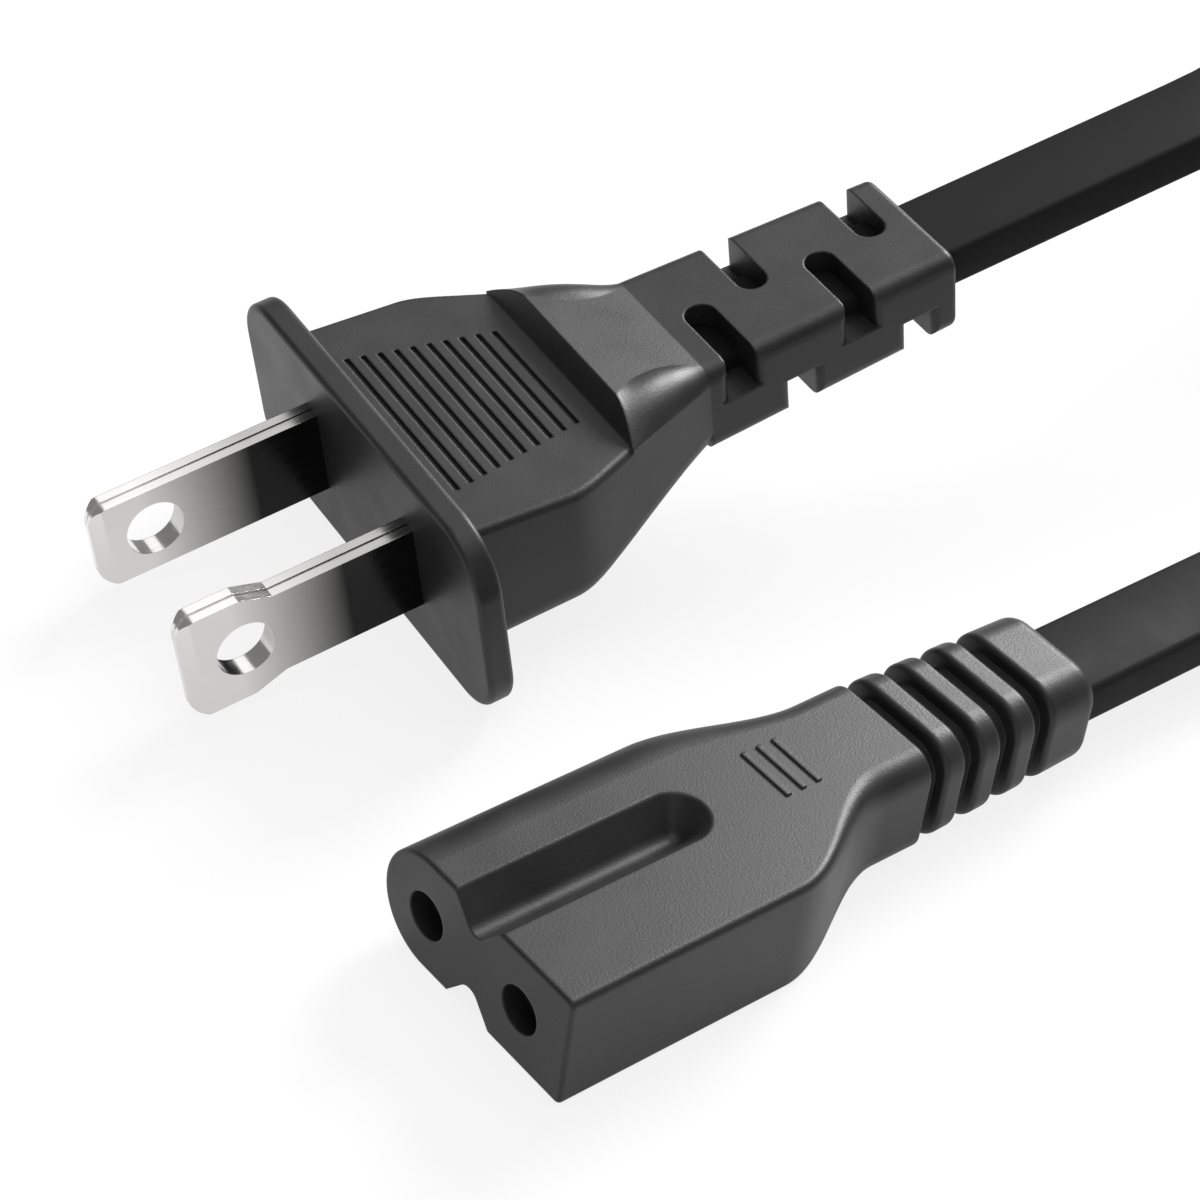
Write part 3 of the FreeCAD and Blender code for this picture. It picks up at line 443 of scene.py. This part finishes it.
def softened(tree, radius):
    """Normal that rounds sharp edges by this radius in millimetres."""
    bevel = tree.nodes.new("ShaderNodeBevel")
    bevel.samples = 6
    bevel.inputs["Radius"].default_value = radius * MM
    return bevel.outputs["Normal"]


def overmould_material():
    """Black moulded plastic with a fine spark-eroded grain."""
    material, tree, shader = new_material("overmould", (0.018, 0.018, 0.019), 0.43)
    shader.inputs["Specular IOR Level"].default_value = OVERMOULD_SHINE
    place = object_place(tree)
    grain = noise(tree, place, scale=6.0, roughness=0.6)
    mottle = noise(tree, place, scale=0.3, detail=3.0)
    tinted(tree, shader, spread(tree, mottle, 0.0, 1.0), *OVERMOULD_TONES)
    tree.links.new(spread(tree, mottle, *OVERMOULD_ROUGHNESS), shader.inputs["Roughness"])
    bumped(tree, shader, grain, OVERMOULD_GRAIN_DEPTH, softened(tree, OVERMOULD_EDGE))
    return material


def jacket_material():
    """Black cord jacket, duller than the mouldings."""
    material, tree, shader = new_material("jacket", JACKET_TONE, 0.5)
    shader.inputs["Specular IOR Level"].default_value = JACKET_SHINE
    waves = noise(tree, object_place(tree), scale=0.25)
    tree.links.new(spread(tree, waves, *JACKET_ROUGHNESS), shader.inputs["Roughness"])
    bumped(tree, shader, waves, JACKET_WAVE_DEPTH)
    return material


def nickel_material():
    """Nickel plating with fine marks along the blade, its broad faces dull and darker towards the root with
    painted shade, a painted dark reflection of the black flange, which its edges take less of.
    """
    material, tree, shader = new_material("nickel", (0.62, 0.61, 0.60), 0.2, 1.0)
    place = plug_place(tree)
    # Painted shade: the plating's colour darkens towards the flange as a painted dark reflection of the
    # black flange; upright faces such as the top edges take less of it
    painted_flange_shade = spread(tree, split_off(tree, place, "Y"), 0.0, 1.0, *NICKEL_PAINTED_SHADE_SPAN)
    surface = tree.nodes.new("ShaderNodeNewGeometry")
    upright = calculated(tree, "ABSOLUTE", split_off(tree, surface.outputs["True Normal"], "Z"))
    share = spread(tree, upright, 1.0, NICKEL_EDGE_PAINTED_SHADE_SHARE)
    tinted(tree, shader, calculated(tree, "MULTIPLY", painted_flange_shade, share), NICKEL_TIP, NICKEL_PAINTED_SHADE_TONE)
    stretch = tree.nodes.new("ShaderNodeMapping")
    stretch.inputs["Scale"].default_value = NICKEL_MARK_STRETCH
    tree.links.new(place, stretch.inputs["Vector"])
    marks = noise(tree, stretch.outputs["Vector"], scale=1.2, detail=3.0)
    tree.links.new(spread(tree, marks, *NICKEL_ROUGHNESS), shader.inputs["Roughness"])
    bumped(tree, shader, marks, NICKEL_MARK_DEPTH, softened(tree, NICKEL_EDGE))
    return material


def plain_material(name, colour, roughness, metallic=0.0):
    """Moulded or drawn surface with slight mottling."""
    material, tree, shader = new_material(name, colour, roughness, metallic)
    mottle = noise(tree, object_place(tree), scale=1.5, detail=3.0)
    darker = [channel * PLAIN_DARKER for channel in colour]
    tinted(tree, shader, spread(tree, mottle, 0.0, 1.0), darker, colour)
    rougher = spread(tree, mottle, roughness - PLAIN_ROUGHNESS_SPREAD, roughness + PLAIN_ROUGHNESS_SPREAD)
    tree.links.new(rougher, shader.inputs["Roughness"])
    bumped(tree, shader, mottle, PLAIN_DEPTH)
    return material


def finish_nodes():
    """Gives each CAD node the finish of its slot, and returns the finishes by name."""
    finishes = {
        "overmould": overmould_material(),
        "jacket": jacket_material(),
        "nickel": nickel_material(),
        "carrier": plain_material("carrier", (0.05, 0.05, 0.055), 0.5),
        "brass": plain_material("brass", (0.75, 0.60, 0.30), 0.25, 1.0),
        "copper": plain_material("copper", (0.72, 0.42, 0.26), 0.3, 1.0),
        "core_black": plain_material("core_black", (0.02, 0.02, 0.02), 0.4),
        "core_white": plain_material("core_white", (0.75, 0.75, 0.72), 0.4),
        "tie": plain_material("tie", (0.02, 0.02, 0.02), 0.7),
    }
    slots = {part["node"]: part["material_slot"] for part in frame["record"]["subparts"]}
    for name, piece in frame["nodes"].items():
        finish = finishes[slots[name]]
        for slot in piece.material_slots:
            slot.material = finish
    return finishes


# Stage and light

def add_floor():
    """Pale floor that shows white to the camera and keeps a faint shadow."""
    side = FLOOR_HALF_SIDE
    mesh = bpy.data.meshes.new("floor")
    corners = [(-side, -side, 0), (side, -side, 0), (side, side, 0), (-side, side, 0)]
    mesh.from_pydata(corners, [], [(0, 1, 2, 3)])
    floor = bpy.data.objects.new("floor", mesh)
    bpy.context.scene.collection.objects.link(floor)
    floor.location.z = -FLOOR_DROP
    material, tree, shader = new_material("floor", FLOOR_TONE, FLOOR_ROUGHNESS)
    mesh.materials.append(material)
    rays = tree.nodes.new("ShaderNodeLightPath").outputs
    shares = [calculated(tree, "MULTIPLY", rays[ray], share) for ray, share in FLOOR_WHITE.items()]
    white = tree.nodes.new("ShaderNodeEmission")
    mix = tree.nodes.new("ShaderNodeMixShader")
    tree.links.new(calculated(tree, "MAXIMUM", *shares), mix.inputs[0])
    tree.links.new(shader.outputs[0], mix.inputs[1])
    tree.links.new(white.outputs[0], mix.inputs[2])
    tree.links.new(mix.outputs[0], tree.nodes["Material Output"].inputs["Surface"])


def add_lights():
    """Soft square lights and an even world."""
    for name, place, side, power in LIGHTS:
        data = bpy.data.lights.new(name, "AREA")
        data.shape = "SQUARE"
        data.size = side
        data.energy = power
        light = bpy.data.objects.new(name, data)
        bpy.context.scene.collection.objects.link(light)
        light.location = place
        light.rotation_euler = (LIGHT_AIM - Vector(place)).to_track_quat("-Z", "Y").to_euler()
    world = bpy.data.worlds.new("world")
    bpy.context.scene.world = world
    world.use_nodes = True
    back = world.node_tree.nodes["Background"]
    back.inputs["Color"].default_value = (1, 1, 1, 1)
    back.inputs["Strength"].default_value = WORLD_STRENGTH


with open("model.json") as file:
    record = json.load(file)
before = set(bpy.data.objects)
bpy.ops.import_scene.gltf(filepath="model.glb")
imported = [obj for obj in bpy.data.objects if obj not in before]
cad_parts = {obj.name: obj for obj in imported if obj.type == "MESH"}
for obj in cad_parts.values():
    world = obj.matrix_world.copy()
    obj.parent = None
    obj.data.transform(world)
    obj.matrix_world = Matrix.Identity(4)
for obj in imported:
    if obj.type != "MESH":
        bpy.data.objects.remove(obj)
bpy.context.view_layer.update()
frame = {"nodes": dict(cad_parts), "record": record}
add_camera()
finishes = finish_nodes()
add_cord(finishes["jacket"])
add_floor()
add_lights()
bpy.context.scene.view_settings.view_transform = "Standard"
